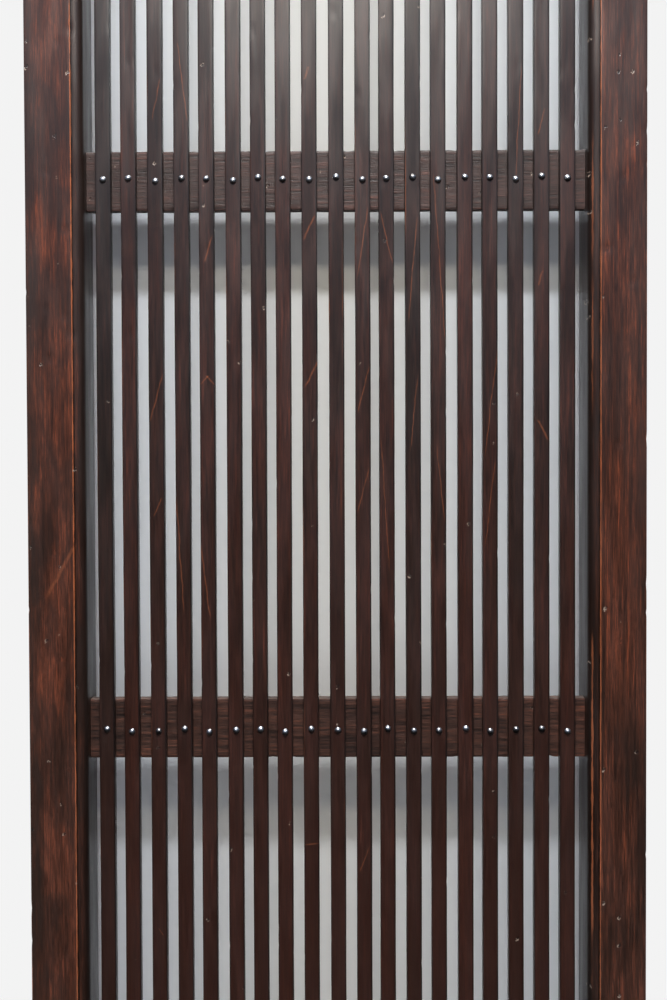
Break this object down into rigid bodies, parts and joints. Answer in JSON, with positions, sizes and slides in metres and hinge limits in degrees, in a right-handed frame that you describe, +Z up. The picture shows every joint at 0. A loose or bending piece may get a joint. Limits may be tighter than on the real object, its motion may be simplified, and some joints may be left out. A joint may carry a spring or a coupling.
{
  "type": "lattice sliding screen",
  "caption": "Sliding door leaf of dark-stained wood: a moulded frame, upright slats nailed to two cross rails, a head tongue and grooved rollers in the bottom rail.",
  "frame": {"origin": "middle of the leaf's width and thickness, at the crown of the sill rail that the two wheels stand on", "axes": "+X along the leaf's width and its sliding direction, +Y from the moulded front to the back, +Z up"},
  "size_m": [0.6, 0.04, 1.77],
  "materials": {
    "frame_wood": "dark stain, satin, worn to orange wood on the edges",
    "slat_wood_dark": "grey-black stain, satin",
    "slat_wood_red": "red-brown stain, satin, worn streaks",
    "wedge_wood": "dark stain on end grain",
    "nail_steel": "blackened, glossy",
    "plated_steel": "dull zinc plate",
    "axle_steel": "oiled steel",
    "wheel_brass": "turned brass, dull"
  },
  "bodies": {
    "leaf": {"stile_left": "frame_wood", "stile_right": "frame_wood", "top_rail": "frame_wood", "bottom_rail": "frame_wood", "tenon_wedges": "wedge_wood", "cross_rail_upper": "frame_wood", "cross_rail_lower": "frame_wood", "slat_01": "slat_wood_dark", "slat_02": "slat_wood_red", "slat_03": "slat_wood_dark", "slat_04": "slat_wood_red", "slat_05": "slat_wood_dark", "slat_06": "slat_wood_red", "slat_07": "slat_wood_dark", "slat_08": "slat_wood_red", "slat_09": "slat_wood_dark", "slat_10": "slat_wood_red", "slat_11": "slat_wood_dark", "slat_12": "slat_wood_red", "slat_13": "slat_wood_dark", "slat_14": "slat_wood_red", "slat_15": "slat_wood_dark", "slat_16": "slat_wood_red", "slat_17": "slat_wood_dark", "slat_18": "slat_wood_red", "slat_19": "slat_wood_dark", "nails_upper": "nail_steel", "nails_lower": "nail_steel", "roller_case_left": "plated_steel", "roller_case_right": "plated_steel", "roller_axle_left": "axle_steel", "roller_axle_right": "axle_steel", "roller_screws_left": "plated_steel", "roller_screws_right": "plated_steel"},
    "wheel_left": {"roller_wheel_left": "wheel_brass"},
    "wheel_right": {"roller_wheel_right": "wheel_brass"}
  },
  "joints": [
    {"name": "wheel_left_spin", "type": "hinge", "parent": "leaf", "child": "wheel_left", "pos_m": [-0.195, 0, 0.015], "axis": [0, 1, 0], "continuous": true},
    {"name": "wheel_right_spin", "type": "hinge", "parent": "leaf", "child": "wheel_right", "pos_m": [0.195, 0, 0.015], "axis": [0, 1, 0], "continuous": true}
  ]
}
